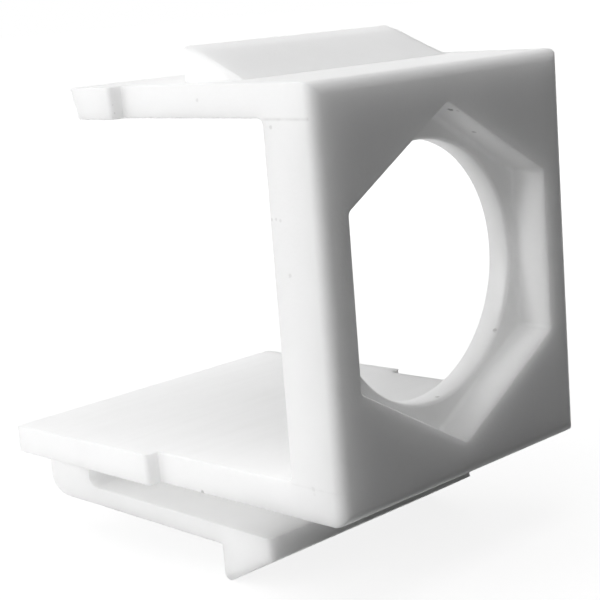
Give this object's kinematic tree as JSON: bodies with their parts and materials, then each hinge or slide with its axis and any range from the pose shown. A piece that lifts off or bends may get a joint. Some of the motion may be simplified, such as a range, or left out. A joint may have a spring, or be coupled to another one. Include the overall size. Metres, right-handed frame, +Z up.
{
  "type": "keystone insert for a fibre coupler",
  "caption": "White moulded keystone insert: square face with hexagonal seat and round bore, open bay behind, wedge catch above, spring latch below.",
  "frame": {"origin": "centre of the coupler bore at the floor of the hexagonal recess, where the coupler's flange seats", "axes": "+X to the right of the face as the user sees it, +Y towards the back, into the wall plate, +Z up"},
  "size_m": [0.0156, 0.0197, 0.0216],
  "materials": {
    "white_plastic": "satin moulded, slightly translucent"
  },
  "bodies": {
    "root": {"adapter_housing": "white_plastic"}
  },
  "joints": []
}
